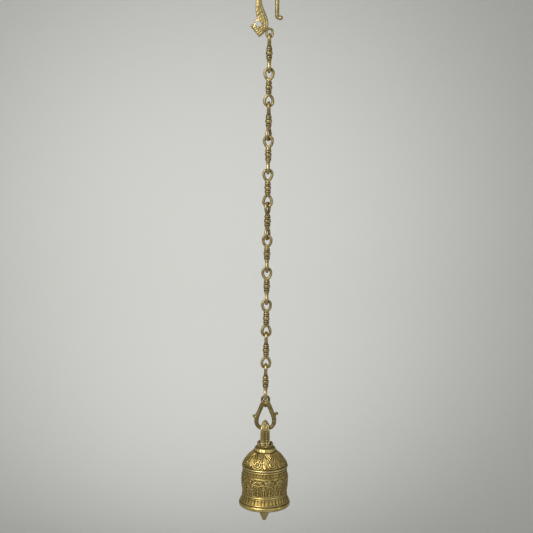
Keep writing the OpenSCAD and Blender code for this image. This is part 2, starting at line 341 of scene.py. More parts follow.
def hook_field(x, y, z):
    """Arch, rod and curl, the decorated arm with its hole, and the ring at the foot."""
    shoulder_z = ARCH_Z - abs(ARM_X)
    elbow_z = ARCH_Z - ROD_X
    curl = (ROD_X + CURL_R, CURL_Z)
    tip = np.radians(180 + CURL_SWEEP)
    tip = (curl[0] + CURL_R * np.cos(tip), 0, curl[1] + CURL_R * np.sin(tip))
    rod = bent(x, y, z, (0, shoulder_z), abs(ARM_X), ROD_R, 90, 180)
    rod = np.minimum(rod, bent(x, y, z, (0, elbow_z), ROD_X, ROD_R, 0, 90))
    rod = np.minimum(rod, bar(x, y, z, (ROD_X, elbow_z), (ROD_X, curl[1]), ROD_R))
    rod = np.minimum(rod, bent(x, y, z, curl, CURL_R, ROD_R, 180, 180 + CURL_SWEEP))
    rod = join(rod, ball(x, y, z, tip, CURL_TIP_R), 0.8)
    stem = bar(x, y, z, (ARM_X, shoulder_z), (ARM_X, STEM_END_Z), ROD_R, STEM_END_R)
    edge = outline(x, z, ARM_OUTLINE)
    rounded_off = 1.7 * np.exp(edge / 2.2)
    relief = LEAF_DEPTH * hook_leaf(x, y, z) * np.clip(-edge / 2, 0, 1)
    face = np.abs(y) - (ARM_HALF - rounded_off + relief)
    arm = keep_both(edge + 0.15, face * 0.8, 1.1)
    hole = HOLE_R - np.hypot(x - HOLE[0], z - HOLE[1])
    arm = keep_both(arm, hole, 1.0)
    low_z = box_mm("hook")[0][2] + FOOT_CAD_R + FOOT_MEAN
    high_z = low_z + FOOT_STRAIGHT
    foot = bent(x, y, z, (0, low_z), FOOT_MEAN, FOOT_R, 180, 360)
    foot = np.minimum(foot, bent(x, y, z, (0, high_z), FOOT_MEAN, FOOT_R, 0, 180))
    for side in (-FOOT_MEAN, FOOT_MEAN):
        foot = np.minimum(foot, bar(x, y, z, (side, low_z), (side, high_z), FOOT_R))
    body = join(join(rod, stem, 0.6), arm, 2.2)
    return join(body, foot, 1.4) + cast_skin(x, y, z, 11)


def make_hook(material):
    low, high = box_mm("hook")
    piece = carve("hook", hook_field, low, high, 0.42)
    return place(piece, "hook", material)


# ---- chain ----

# The eye's round top has EYE_MEAN, and its sides are arcs that bulge EYE_BULGE more
EYE_MEAN, EYE_WIRE, EYE_BULGE = 7.8, 2.78, 8
# Radius of the eye's wire in the CAD, which sets where its centre lies
EYE_CAD_WIRE = 2.8
# Heading of each link's upper and lower eye in degrees, from the hook's face
UPPER_EYES = (90, 0, 90, -13, 0, 63, -13, 0, 0, 90, 90)
LOWER_EYES = (90, 0, 62, 90, -12, 62, 90, 90, 0, 0, 90)
# Turned middle of a link, as (distance from its middle, radius)
BALUSTER = (
    (0, 6.55), (2.2, 6.5), (2.9, 6.1), (3.3, 5.2), (3.7, 4.4), (4.3, 4.4), (4.7, 5.3),
    (5.3, 6.0), (6.9, 6.0), (7.4, 5.4), (7.8, 4.9), (8.2, 5.3), (8.7, 5.8), (9.9, 5.75),
    (10.8, 5.2), (11.5, 4.4), (13, 4.1), (15.4, 3.9), (18, 3.3),
)
SHANK_END = 16.5
# How much thicker an eye is across its plane, away from where the next link bears.
# Eyes that cross the next one askew stay round, so that they clear it when they swing.
EYE_FLAT = 0.24


def eye(x, y, z, heading, centre):
    """Eye that is round at the top and whose sides curve together below it."""
    c, s = math.cos(math.radians(heading)), math.sin(math.radians(heading))
    u, v = np.abs(x * c + y * s), y * c - x * s
    if heading % 90 == 0:
        v = v / (1 + EYE_FLAT * np.clip(np.maximum(u - 3, centre - 4 - z) / 3, 0, 1))
    top = bent(u, v, z, (0, centre), EYE_MEAN, EYE_WIRE, 0, 90)
    reach = EYE_MEAN + EYE_BULGE
    closing = math.degrees(math.acos(EYE_BULGE / reach))
    side = bent(u, v, z, (-EYE_BULGE, centre), reach, EYE_WIRE, -closing, 0)
    return np.minimum(top, side)


def link_field(index, middle, half):
    """Turned shank between two eyes; each casting leans a little in its own way."""
    centre = half - EYE_MEAN - EYE_CAD_WIRE
    stations, radii = zip(*BALUSTER)
    rng = np.random.default_rng(100 + index)
    lean_x, lean_y = rng.uniform(-0.3, 0.3, 2)
    turned_less = rng.uniform(0, 0.25)

    def field(x, y, z):
        w = z - middle
        sway = 1 - (w / half) ** 2
        x, y = x + lean_x * sway, y + lean_y * sway
        rho = np.hypot(x, y)
        shank = 0.7 * (rho - np.interp(np.abs(w), stations, radii) + turned_less)
        shank = keep_both(shank, np.abs(w) - SHANK_END, 1.5)
        eyes = np.minimum(
            eye(x, y, w, UPPER_EYES[index], centre), eye(x, y, -w, LOWER_EYES[index], centre)
        )
        return join(shank, eyes, 1.3) + 0.8 * cast_skin(x, y, z, 200 + 5 * index)

    return field


def make_link(index, material):
    node = "chain_link_%02d" % (index + 1)
    low, high = box_mm(node)
    middle, half = (low[2] + high[2]) / 2, (high[2] - low[2]) / 2
    piece = carve(node, link_field(index, middle, half), low, high, 0.42)
    return place(piece, node, material)


# ---- stirrup ----

# Reach of an arm, the radii of the bar and of an arm, half the thickness to which the
# arms are pressed, and the lean of their slope from level, in degrees
SIDE_X, BAR_R, ARM_R, ARM_FLAT, ARM_LEAN = 17, 3.75, 4.35, 3.6, 68
ARM_ROOT_X, ELBOW_R, ELBOW_RISE, CORNER_R = 4.4, 30, 2.2, 13
# Ring on top: mean and wire radius, and its outer radius in the CAD
TOP_RING_MEAN, TOP_RING_R, TOP_RING_CAD = 6.9, 2.4, 9.4
# Buds as (reach, height over the bar): where each starts and ends
KNOB_ROOT, KNOB_NECK, KNOB, KNOB_R = (17.5, 27), (20.8, 29), (21.6, 29.8), 3.4
THORN_ROOT, THORN_TIP = (-18, 22), (-22.6, 25.0)


def stirrup_arm(u, y, z, bar_z):
    """Half of the lyre: a slope, an elbow, a round corner and half of the bar."""
    corner = (SIDE_X - CORNER_R, bar_z + CORNER_R)
    elbow = (SIDE_X - ELBOW_R, corner[1] + ELBOW_RISE)
    lean = math.radians(ARM_LEAN)
    bend = (elbow[0] + ELBOW_R * math.sin(lean), elbow[1] + ELBOW_R * math.cos(lean))
    root = (ARM_ROOT_X, bend[1] + (bend[0] - ARM_ROOT_X) * math.tan(lean))
    arm = bar(u, y, z, root, bend, ARM_R - 0.1, ARM_R)
    arm = np.minimum(arm, bent(u, y, z, elbow, ELBOW_R, ARM_R, 0, 90 - ARM_LEAN))
    arm = np.minimum(arm, bar(u, y, z, (SIDE_X, elbow[1]), (SIDE_X, corner[1]), ARM_R))
    arm = keep_both(arm, np.abs(y) - ARM_FLAT, 0.8)
    arm = join(arm, bent(u, y, z, corner, CORNER_R, BAR_R + 0.2, -90, 0), 1.0)
    return np.minimum(arm, bar(u, y, z, (corner[0], bar_z), (0, bar_z), BAR_R))


def stirrup_field(x, y, z):
    """Lyre on a small ring, with a knob on its right arm and a thorn on its left."""
    bar_z = JOINT_Z["bell"]
    ring_z = box_mm("stirrup")[1][2] - TOP_RING_CAD
    arms = stirrup_arm(np.abs(x), y, z, bar_z)
    neck = bar(x, y, z, (0, ring_z - 13.5), (0, ring_z - 8.5), 2.2, 4.6)
    top_ring = ring(x, y, z, ring_z, TOP_RING_MEAN, TOP_RING_R)
    body = join(join(arms, neck, 2.4), top_ring, 1.6)
    w = z - bar_z
    knob = join(
        bar(x, y, w, KNOB_ROOT, KNOB_NECK, 3.0, 2.5),
        ball(x, y, w, (KNOB[0], 0, KNOB[1]), KNOB_R), 0.3,
    )
    thorn = bar(x, y, w, THORN_ROOT, THORN_TIP, 4.2, 2.4)
    return join(body, np.minimum(knob, thorn), 0.9) + cast_skin(x, y, z, 31)


def make_stirrup(material):
    low, high = box_mm("stirrup")
    piece = carve("stirrup", stirrup_field, low, high, 0.4)
    return place(piece, "stirrup", material)


# ---- crown ----

# Half outlines of the loop as (reach, height over the bar), from the front and the side
LOOP_FRONT = bezier((0, 18.4), (3, 14), (8.2, 9), (8.3, -3)) + [(8.8, -10), (9.6, -28.4)]
LOOP_SIDE = bezier((0, 18.4), (4.5, 12), (12.5, 6), (12.5, -6)) + [(12, -20), (13.5, -28.4)]
LEAF = bezier((0, 14.5), (3.2, 10), (4.4, 4), (0, -3.5))
# Radius of the seat on the bar, how fast it widens outwards, and half sizes of the tongue
SEAT_R, SEAT_FLARE, TONGUE = 4.25, 0.014, (2, 4.5)
# Collar: radius of the plinth, of the rope and of the lobes' row, and the lobes' own size
PLINTH_R, ROPE_R, LOBE_ROW_R, LOBE_R, LOBES = 14.4, 13.9, 12.3, 4.2, 8
ROPE_TURNS = 22
STUD_R, THREAD_PITCH, PIN_HOLE_R = 4.75, 1.5, 2.3
WASHER_R, WASHER_HOLE_R = 10.95, 5.3
NUT_HALF_FLATS, NUT_HOLE_R = 8.45, 5.1


def both_sides(points):
    """A half outline and its mirror image as one closed outline."""
    return points + [(-u, w) for u, w in points[::-1]]


def loop_relief(x, y, w):
    """Rim of the loop: a pointed leaf above a beaded spine, between two plain strips."""
    leaf = outline(x, w, both_sides(LEAF))
    vein = bump(x, 0, 0.9) * (leaf < 0)
    beads = bump(np.hypot(x - 3.1, (w + 7) % 4.4 - 2.2), 0, 2.7) * ((w < -4) & (w > -27.5))
    grooves = bump(x, -0.4, 1.0) + 0.6 * bump(x, 6.6, 0.8)
    strip = bump(x, -4.2, 3.2)
    return (
        1.5 * bump(leaf, -0.2, 1.4) + 0.9 * vein + 2.2 * beads
        - (1.2 * grooves - 0.5 * strip) * (w < -4) - 0.5
    )


def loop_sides(y, w):
    """Flat faces of the loop: a raised border and a scroll that follows it."""
    border = outline(y, w, both_sides(LOOP_SIDE))
    scroll = 0.6 * bump(border, -3.6, 0.55) * np.clip((w + 26) / 3, 0, 1)
    return 0.9 * bump(border, -1.0, 1.1) + scroll - 0.5


def loop_field(x, y, z):
    """Pointed loop on a collar of lobes, with the threaded stud and its tongue below."""
    bar_z = JOINT_Z["bell"]
    crown_z = box_mm("bell_shell")[1][2]
    w = z - bar_z
    front = outline(x, w, both_sides(LOOP_FRONT))
    side = outline(y, w, both_sides(LOOP_SIDE))
    on_rim = np.clip((side - front + 1) / 3, 0, 1)
    body = keep_both(
        front + 0.1 - 0.5 * loop_sides(y, w) * (1 - on_rim),
        side + 0.3 - 0.6 * loop_relief(x, y, w) * on_rim,
        0.8,
    )
    body = keep_both(body, crown_z - z, 0.3)
    seat = SEAT_R + SEAT_FLARE * x**2
    hole = join(np.hypot(y, w) - seat, keep_both(np.abs(y) - 5.5, np.abs(w + 10) - 8, 2), 1)
    body = keep_both(body, -hole, 0.9)
    rho, angle = np.hypot(x, y), np.arctan2(y, x)
    plinth = rho - PLINTH_R + 0.95 * np.maximum(z - crown_z - 4, 0)
    plinth = keep_both(plinth, z - crown_z - 8, 0.8)
    turns = 0.45 * np.cos(ROPE_TURNS * angle + 2.2 * (z - crown_z))
    rope = hoop(x, y, z, crown_z + 1.5, ROPE_R, 1.3 + 0.4 * turns)
    lobe = (angle % (2 * math.pi / LOBES)) - math.pi / LOBES
    lobes = ball(
        rho * np.cos(lobe), rho * np.sin(lobe), z, (LOBE_ROW_R, 0, crown_z + 4.7), LOBE_R
    )
    sash = hoop(x, y, z + 0.2 * x, crown_z + 5.8, 12.6, 2.0)
    lobes = join(lobes, sash, 0.4)
    collar = join(keep_both(plinth, crown_z - z, 0.3), join(lobes, rope, 0.6), 0.7)
    collar = keep_both(collar, crown_z + 0.05 - z, 0.2)
    end_z, top_z = box_mm("crown_loop")[0][2], box_mm("crown_nut")[0][2]
    thread = 0.22 * np.cos(2 * math.pi * (z / THREAD_PITCH + angle / (2 * math.pi)))
    stud = keep_both(rho - STUD_R - thread, np.abs(z - crown_z + 7) - 9, 0.4)
    tongue = keep_both(np.abs(x) - TONGUE[0], np.abs(y) - TONGUE[1], 0.8)
    tongue = keep_both(tongue, np.abs(z - (end_z + top_z + 1) / 2) - (top_z + 1 - end_z) / 2, 1)
    tongue = keep_both(tongue, PIN_HOLE_R - np.hypot(y, z - end_z - 5.4), 0.3)
    return join(join(body, collar, 0.9), np.minimum(stud, tongue), 0.3) + cast_skin(
        x, y, z, 41
    )


def make_crown_loop(material):
    low, high = box_mm("crown_loop")
    piece = carve("crown_loop", loop_field, low, high, 0.4)
    return place(piece, "crown_loop", material)


def make_washer(material):
    """Plain disc under the crown; the nut draws the loop down against it."""
    low, high = box_mm("crown_washer")
    middle, half = (low[2] + high[2]) / 2, (high[2] - low[2]) / 2

    def field(x, y, z):
        rho = np.hypot(x, y)
        disc = keep_both(rho - WASHER_R, np.abs(z - middle) - half + 0.02, 0.5)
        return keep_both(disc, WASHER_HOLE_R - rho, 0.3) + 0.4 * cast_skin(x, y, z, 51)

    piece = carve("crown_washer", field, low, high, 0.35)
    return place(piece, "crown_washer", material)


def make_nut(material):
    """Six-sided nut with chamfered corners and a countersunk hole."""
    low, high = box_mm("crown_nut")
    middle, half = (low[2] + high[2]) / 2, (high[2] - low[2]) / 2

    def field(x, y, z):
        rho, w = np.hypot(x, y), np.abs(z - middle)
        flats = [x * math.cos(a) + y * math.sin(a) for a in np.radians([30, 90, 150])]
        hexagon = np.maximum.reduce([np.abs(f) + 0 * w for f in flats]) - NUT_HALF_FLATS
        chamfer = (rho + 1.7 * w - 9.2 - 1.7 * half) * 0.5
        solid = keep_both(keep_both(hexagon, w - half + 0.02, 0.4), chamfer, 0.4)
        hole = NUT_HOLE_R - rho + 0.6 * (w - half)
        return keep_both(solid, hole, 0.3) + 0.4 * cast_skin(x, y, z, 61)

    piece = carve("crown_nut", field, low, high, 0.35)
    return place(piece, "crown_nut", material)


# ---- bell ----

# Outer and inner profile as (radius, depth below the crown's top face)
BELL_OUTER = (
    (10, 0), (18.3, 0), (18.5, 1), (19.2, 4.5), (22.3, 9), (27.6, 13.2), (32.2, 17.7),
    (38.2, 25.6), (41.4, 30.6), (43.3, 35.2), (43.6, 38), (42.6, 40.6), (42.4, 43),
    (42.8, 46.5), (44.5, 56), (45.1, 67), (44, 79), (42.4, 89), (43.4, 92.5), (43.5, 95),
    (45.3, 101), (48, 108), (48.6, 111), (48.5, 116), (48.2, 117.4), (47.4, 118),
)
BELL_INNER = (
    (46.4, 117.6), (45.9, 111), (42, 101), (39, 89), (40.5, 79), (41.8, 67), (41, 56),
    (39.4, 47), (40, 38), (33.8, 28), (27.6, 20.5), (20, 12), (14, 6), (5.4, 6), (5.4, 0.05),
)
COLUMNS = 408
# Steps along the outer and the inner profile, and the mean radius that the dome's relief
# is drawn at
OUTER_STEP, INNER_STEP, DOME_R = 0.66, 3.2, 31
# Repeats of each motif round the bell
ARCHES, LEAVES, DROPS, FLUTES, TWISTS = 12, 8, 40, 40, 60
# Depths of the bands below the crown's top face
TOP_BEAD, SHOULDER_BEAD, ROPE, DROP_ROW = 4.5, 38, 43, 48
ARCADE_TOP, ARCADE_FLOOR, RIDGE, FLUTE_ROW, LIP = 53, 89.5, 92.6, 100.5, 113.4


def resample(profile, step):
    """Points at even steps along a profile, with its corners slightly rounded."""
    points = np.array(profile, float)
    along = np.concatenate([[0], np.cumsum(np.linalg.norm(np.diff(points, axis=0), axis=1))])
    at = np.linspace(0, along[-1], int(along[-1] / step) + 1)
    rows = np.stack([np.interp(at, along, points[:, i]) for i in (0, 1)], 1)
    for _ in range(3):
        rows[1:-1] = 0.25 * rows[:-2] + 0.5 * rows[1:-1] + 0.25 * rows[2:]
    return rows


def raised(distance, half, height):
    """Height of a rounded stroke of that half width."""
    return height * np.clip(1 - (distance / half) ** 2, 0, None) ** 0.7


def spiral(centre, radius, turns, start, way=1, count=22):
    """Line that winds inwards round a centre."""
    points = []
    for i in range(count + 1):
        t = i / count
        a = math.radians(start) + way * turns * 2 * math.pi * t
        r = radius * (1 - 0.82 * t)
        points.append((centre[0] + r * math.cos(a), centre[1] + r * math.sin(a)))
    return points


def fold(angle, count, offset=0.0):
    """Signed angle from the middle of the nearest of count repeats, and its number."""
    pitch = 2 * math.pi / count
    turned = angle - math.radians(offset)
    number = np.floor(turned / pitch + 0.5)
    return turned - number * pitch, number % count


def wobble(number, seed, amount):
    """Small seeded change from one repeat to the next, as in hand-cut wax."""
    table = np.random.default_rng(seed).uniform(-amount, amount, 128)
    return table[number.astype(int) % 128]


def dome_relief(angle, depth):
    """Leaves up the dome, with fans of ovals and curved strokes between them."""
    folded, number = fold(angle, LEAVES, -90)
    plain_x, plain_y = folded * DOME_R, (36 - depth) * 1.35
    x = plain_x + wobble(number, 1, 0.5)
    y = plain_y + wobble(number, 2, 0.5)
    side = np.abs(x)
    leaf = outline(side, y, both_sides(bezier((0, 33), (2.6, 24), (3.6, 12), (0, 3.5))))
    shapes = [raised(leaf, 1.2, 1.0), raised(side, 0.9, 1.1) * (leaf < 0)]
    veins = np.abs((y - 0.8 * side) % 4.4 - 2.2)
    shapes.append(raised(veins, 1.0, 0.6) * (leaf < -0.6))
    # Ovals round a boss between two leaves, drawn over and over as in hand-cut wax
    middle = math.pi / LEAVES * DOME_R
    oval = np.hypot((np.abs(plain_x) - middle) * 1.1, (plain_y - 13) * 0.75)
    rings = 0.5 + 0.5 * np.cos(2 * math.pi * oval / 4.3)
    shapes.append(0.95 * rings * np.clip((9.4 - oval) / 1.5, 0, 1))
    # Strokes that rise from the ovals towards the crown
    sweep = np.abs(plain_x) + 0.35 * plain_y + 0.02 * (plain_y - 20) ** 2
    strokes = 0.5 + 0.5 * np.cos(2 * math.pi * sweep / 4.6)
    shapes.append(0.9 * strokes * np.clip((y - 15) / 3, 0, 1) * (leaf > 0.8))
    height = np.maximum.reduce(shapes) + 0.14 * ripple(x, y, 5.0 * number, 73, 3.4, 9)
    return height * np.clip((depth - 8.5) / 1.5, 0, 1) * np.clip((36.2 - depth) / 1.5, 0, 1)


def arcade_relief(angle, depth, radius):
    """Double-lined arches with a bud in each, columns, rosettes and a garland above."""
    folded, number = fold(angle, ARCHES, -78)
    x = folded * radius + wobble(number, 3, 0.35)
    y = ARCADE_FLOOR - depth + wobble(number, 4, 0.3)
    side, half_pitch = np.abs(x), math.pi * radius / ARCHES
    shapes = []
    # Two arches, one inside the other
    for reach, springing, half, tall in ((7.4, 13.5, 0.75, 0.95), (4.9, 13.0, 0.6, 0.75)):
        leg = stroke(side, y, [(reach, 0), (reach, springing)])
        arch = np.abs(np.hypot(side, (y - springing) * 0.92) - reach) + 9 * (y < springing)
        shapes.append(raised(np.minimum(leg, arch), half, tall))
    # Bud on a foot, with a neck, a head and a petal on either side
    foot = stroke(side, y, [(0, 1.0), (1.9, 1.0)])
    shapes.append(raised(foot, 0.9, 0.9))
    shapes.append(raised(np.hypot(side, (y - 5.0) * 0.75), 2.7, 1.25))
    shapes.append(raised(stroke(side, y, [(0, 8.2), (0, 9.4)]), 1.0, 0.9))
    shapes.append(raised(np.hypot(side * 1.25, (y - 12.2) * 0.6), 1.9, 1.2))
    petal = bezier((0.4, 9.6), (2.6, 10.2), (3.4, 12), (3.0, 14.2))
    shapes.append(raised(stroke(side, y, petal), 0.6, 0.8))
    # Column with its base and capital, and a rosette above it
    from_column = half_pitch - side
    shapes.append(raised(stroke(from_column, y, [(0, 2), (0, 13)]), 1.25, 1.0))
    shapes.append(raised(stroke(from_column, y, [(0, 0.9), (2.4, 0.9)]), 0.9, 0.95))
    shapes.append(raised(stroke(from_column, y, [(0, 14.6), (2.3, 14.6)]), 0.85, 0.95))
    shapes.append(raised(np.abs(np.hypot(from_column, y - 19.3) - 2.3), 0.75, 0.95))
    shapes.append(raised(np.hypot(from_column, y - 19.3), 1.1, 1.15))
    # Scrolls, garland and fronds over the arch
    shapes.append(raised(stroke(side, y, spiral((6.6, 27.2), 3.3, 1.3, 200, -1)), 0.75, 0.95))
    shapes.append(raised(stroke(side, y, spiral((9.6, 32.4), 2.1, 1.0, 30, 1)), 0.7, 0.8))
    swag = bezier((0.2, 25.4), (3, 22.6), (7, 22.4), (11.6, 24.6))
    shapes.append(raised(stroke(side, y, swag), 0.75, 0.85))
    for tip in ((0, 33.6), (2.6, 32.2), (4.3, 30.2)):
        frond = [(0.0, 26.6), tip] if tip[0] == 0 else bezier((0.3, 26.8), (0.8, 29), tip, tip)
        shapes.append(raised(stroke(side, y, frond), 0.8, 0.9))
    # Border lines
    shapes.append(raised(y - 35.3, 0.7, 0.6))
    shapes.append(raised(y + 0.4, 0.8, 0.7))
    grain = 0.1 * ripple(x, y, 3.0 * number, 71, 2.2, 9)
    return np.maximum.reduce(shapes) + grain * bump(depth, 71, 19)


def bell_relief(angle, depth, radius):
    """Everything that stands out from the bell's turned profile, in millimetres."""
    height = raised(depth - TOP_BEAD, 3.4, 1.3) * (1 + 0.15 * np.cos(24 * angle))
    height = height + dome_relief(angle, depth) + 1.5 * bump(depth, SHOULDER_BEAD, 1.9)
    twist = 0.72 + 0.28 * np.cos(TWISTS * angle + 1.5 * (depth - ROPE))
    height = height + 1.35 * bump(depth, ROPE, 1.8) * twist
    drop, _ = fold(angle, DROPS)
    tall = (depth - DROP_ROW) * 0.62
    drops = raised(np.hypot(drop * radius * (1 + 0.12 * tall), tall), 2.1, 0.35)
    height = height + drops + arcade_relief(angle, depth, radius) * (
        (depth > ARCADE_TOP) & (depth < ARCADE_FLOOR + 1.3)
    )
    height = height + 0.9 * bump(depth, RIDGE, 1.7) + 0.45 * bump(depth, RIDGE + 3.6, 0.9)
    flute, number = fold(angle, FLUTES, 1.5)
    cut = raised(flute * radius + wobble(number, 5, 0.6), 2.3, 0.5)
    cut = cut * (1 + wobble(number, 6, 0.5))
    height = height - cut * bump(depth, FLUTE_ROW, 5.2) ** 0.5
    height = height + 0.6 * bump(depth, FLUTE_ROW + 6.2, 0.8) + 1.5 * bump(depth, LIP, 4.0)
    dents = ripple(np.cos(angle) * radius, np.sin(angle) * radius, depth, 81, 17)
    return height + 0.12 * dents


def smoothed(height, passes):
    """The height map blurred round the bell and up and down it."""
    for _ in range(passes):
        height = 0.5 * height + 0.25 * (np.roll(height, 1, 1) + np.roll(height, -1, 1))
        above = np.vstack([height[:1], height[:-1]])
        below = np.vstack([height[1:], height[-1:]])
        height = 0.5 * height + 0.25 * (above + below)
    return height


def make_bell(material):
    """Turned grid of rings: the outer profile with its relief, then the plain inside."""
    low, high = box_mm("bell_shell")
    crown_z, mouth_r = high[2], high[0]
    outer, inner = resample(BELL_OUTER, OUTER_STEP), resample(BELL_INNER, INNER_STEP)
    angle = 2 * math.pi * np.arange(COLUMNS) / COLUMNS
    around, depth = np.meshgrid(angle, outer[:, 1])
    radius = np.repeat(outer[:, :1], COLUMNS, 1)
    height = bell_relief(around, depth, radius) * np.clip(depth / 1.5, 0, 1)
    tangent = np.gradient(outer, axis=0)
    tangent /= np.linalg.norm(tangent, axis=1, keepdims=True)
    out_r, out_z = tangent[:, 1:2], tangent[:, :1]
    radius = np.minimum(radius + height * out_r, mouth_r - 0.02)
    rise = np.clip(height * out_z - depth, low[2] - crown_z, 0)
    blurred = smoothed(height, 10)
    broad = smoothed(height, 60)
    hollow = np.clip(1.3 * (blurred - height) + 0.6 * (broad - height), 0, 1)
    edge = np.clip(1.0 * (height - blurred) + 0.35 * (height - broad), 0, 1)
    inner_r = np.repeat(inner[:, :1], COLUMNS, 1)
    inner_rise = -np.repeat(inner[:, 1:], COLUMNS, 1)
    skin = 0.12 * ripple(np.cos(angle) * inner_r, np.sin(angle) * inner_r, inner_rise, 91, 9)
    inner_r = inner_r + np.where(inner_r > 15, np.abs(skin), 0)
    radius, rise = np.vstack([radius, inner_r]), np.vstack([rise, inner_rise])
    hollow = np.vstack([hollow, np.full(inner_r.shape, 0.55)])
    edge = np.vstack([edge, np.zeros(inner_r.shape)])
    points = np.stack(
        [radius * np.cos(angle), radius * np.sin(angle), crown_z + rise], -1
    ).reshape(-1, 3)
    rows = len(radius)
    cell = np.arange(rows * COLUMNS).reshape(rows, COLUMNS)
    right, under = np.roll(cell, -1, 1), np.roll(cell, -1, 0)
    faces = np.stack([cell, under, np.roll(under, -1, 1), right], -1).reshape(-1, 4)
    piece = make_object("bell_shell", points, faces, hollow.ravel(), edge.ravel())
    return place(piece, "bell_shell", material)


# ---- clapper ----

HANGER_MEAN, HANGER_R = 6.5, 1.25
# Clapper: radii of its blunt tip, its widest place, its stem and the eye on top
TIP_R, WIDEST_R, STEM_R, CLAPPER_EYE_MEAN, CLAPPER_EYE_R = 3.2, 13.2, 2.55, 4.8, 1.55
# How far the widest place hangs below the mouth, and the eye's centre below the top
WIDEST_DROP, CLAPPER_EYE_DROP = 2, 6.4


def make_hanger(material):
    """Wire ring, with a fine seam where its ends meet."""
    low, high = box_mm("clapper_hanger")
    ring_z = (low[2] + high[2]) / 2

    def field(x, y, z):
        wire = ring(x, y, z, ring_z, HANGER_MEAN, HANGER_R)
        seam = 0.07 - 0.9 * np.abs(z - ring_z)
        wire = np.where(x > 0, keep_both(wire, seam, 0.15), wire)
        return wire + 0.5 * cast_skin(x, y, z, 95)

    piece = carve("clapper_hanger", field, low, high, 0.3)
    return place(piece, "clapper_hanger", material)


def clapper_profile():
    """Radius of the clapper at each height, from its tip to the top of its stem."""
    low, high = box_mm("clapper")
    tip, widest = low[2] + 0.05, box_mm("bell_shell")[0][2] - WIDEST_DROP
    nose = bezier((TIP_R, tip), (4.4, tip + 4), (10.4, tip + 13), (WIDEST_R, widest))
    shoulder = bezier(
        (WIDEST_R, widest), (WIDEST_R, widest + 9), (3.6, widest + 13), (STEM_R, widest + 22)
    )
    stem = [(STEM_R, high[2] - 11.2), (2.3, high[2] - 10)]
    return nose + shoulder[1:] + stem


def make_clapper(material):
    """Turned bulb with struck dents, a thin stem and an eye across the hanger."""
    low, high = box_mm("clapper")
    radii, heights = zip(*clapper_profile())
    eye_z = high[2] - CLAPPER_EYE_DROP
    widest = box_mm("bell_shell")[0][2] - WIDEST_DROP

    def field(x, y, z):
        rho = np.hypot(x, y)
        rings = 0.45 * bump(z, widest + 12.6, 1.0) + 0.5 * bump(z, widest + 18.5, 1.1)
        rings = rings - 0.35 * bump(z, low[2] + 5.2, 0.8) - 0.3 * bump(z, widest + 3.4, 0.7)
        body = 0.75 * (rho - np.interp(z, heights, radii) - rings)
        body = keep_both(body, np.maximum(heights[0] - z, z - heights[-1]), 0.8)
        top_eye = ring(y, x, z, eye_z, CLAPPER_EYE_MEAN, CLAPPER_EYE_R)
        dents = 0.22 * np.clip(ripple(x, y, z, 97, 7), 0.6, 2) * bump(z, widest - 1, 6)
        return join(body, top_eye, 1.2) + cast_skin(x, y, z, 96) + dents

    piece = carve("clapper", field, low, high, 0.45)
    return place(piece, "clapper", material)


# ---- materials ----


def node(tree, kind, **settings):
    """New shader node with its settings."""
    made = tree.nodes.new(kind)
    for key, value in settings.items():
        setattr(made, key, value)
    return made


def math_node(tree, operation, *values, clamp=False):
    """Result of a sum on numbers or on other nodes' outputs."""
    made = node(tree, "ShaderNodeMath", operation=operation, use_clamp=clamp)
    for socket, value in zip(made.inputs, values):
        if isinstance(value, (int, float)):
            socket.default_value = value
        else:
            tree.links.new(value, socket)
    return made.outputs[0]


def noise(tree, coordinates, scale, detail, roughness=0.55):
    """Noise from 0 to 1 in the piece's own coordinates."""
    made = node(tree, "ShaderNodeTexNoise")
    made.inputs["Scale"].default_value = scale
    made.inputs["Detail"].default_value = detail
    made.inputs["Roughness"].default_value = roughness
    tree.links.new(coordinates, made.inputs["Vector"])
    return made.outputs["Fac"]


def ramp(tree, factor, stops):
    """Colour that follows a factor through (position, colour) stops."""
    made = node(tree, "ShaderNodeValToRGB")
    elements = made.color_ramp.elements
    while len(elements) < len(stops):
        elements.new(0.5)
    for element, (position, colour) in zip(elements, stops):
        element.position = position
        element.color = (*colour, 1)
    tree.links.new(factor, made.inputs["Fac"])
    return made.outputs["Color"]


